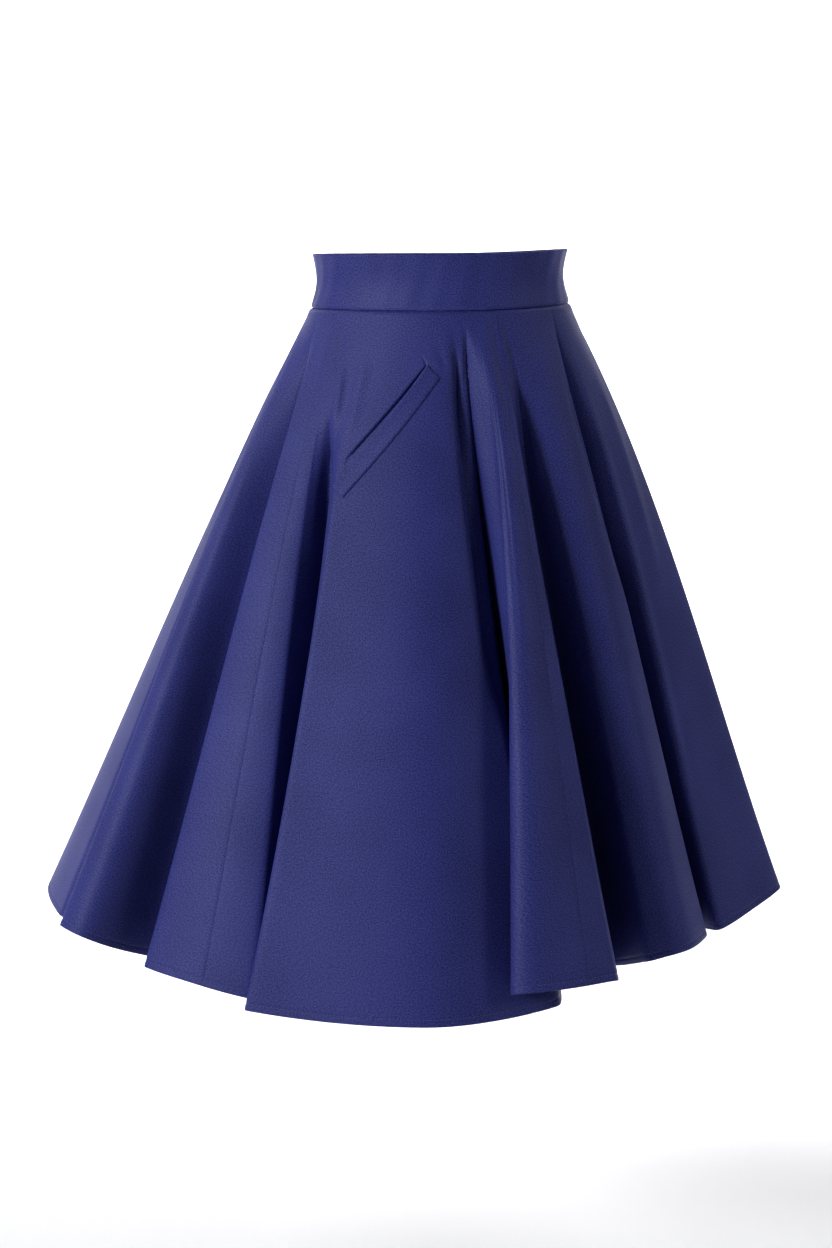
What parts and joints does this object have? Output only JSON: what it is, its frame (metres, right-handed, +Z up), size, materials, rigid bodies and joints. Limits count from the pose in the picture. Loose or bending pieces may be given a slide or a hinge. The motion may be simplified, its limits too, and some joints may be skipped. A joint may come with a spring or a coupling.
{
  "type": "skirt",
  "caption": "Knee-length flared swing skirt in panels, with a contour waistband, a slanted welt pocket and a centre back zip.",
  "frame": {"origin": "middle of the waist, at the waistband's narrowest level", "axes": "+Z up out of the waist, -Y the wearer's front, +X the wearer's left"},
  "size_m": [0.7737, 0.6668, 0.7171],
  "materials": {
    "sateen": "navy cotton sateen, soft sheen",
    "pocketing": "plain matt navy cotton",
    "zip_metal": "navy enamel"
  },
  "bodies": {
    "skirt": {"gore_front": "sateen", "gore_side_left": "sateen", "gore_back_left": "sateen", "gore_back_right": "sateen", "gore_side_right": "sateen", "waistband_front": "sateen", "waistband_back_left": "sateen", "waistband_back_right": "sateen", "pocket_welt": "sateen", "pocket_bag": "pocketing", "zip_tape": "pocketing", "zip_slider": "zip_metal"},
    "pull_tab": {"zip_pull_tab": "zip_metal"}
  },
  "joints": [
    {"name": "pull_tab_hinge", "type": "hinge", "parent": "skirt", "child": "pull_tab", "pos_m": [0.02601, 0.10367, 0.0214], "axis": [0.9872, -0.1596, 0], "range_deg": [0, 150]}
  ]
}
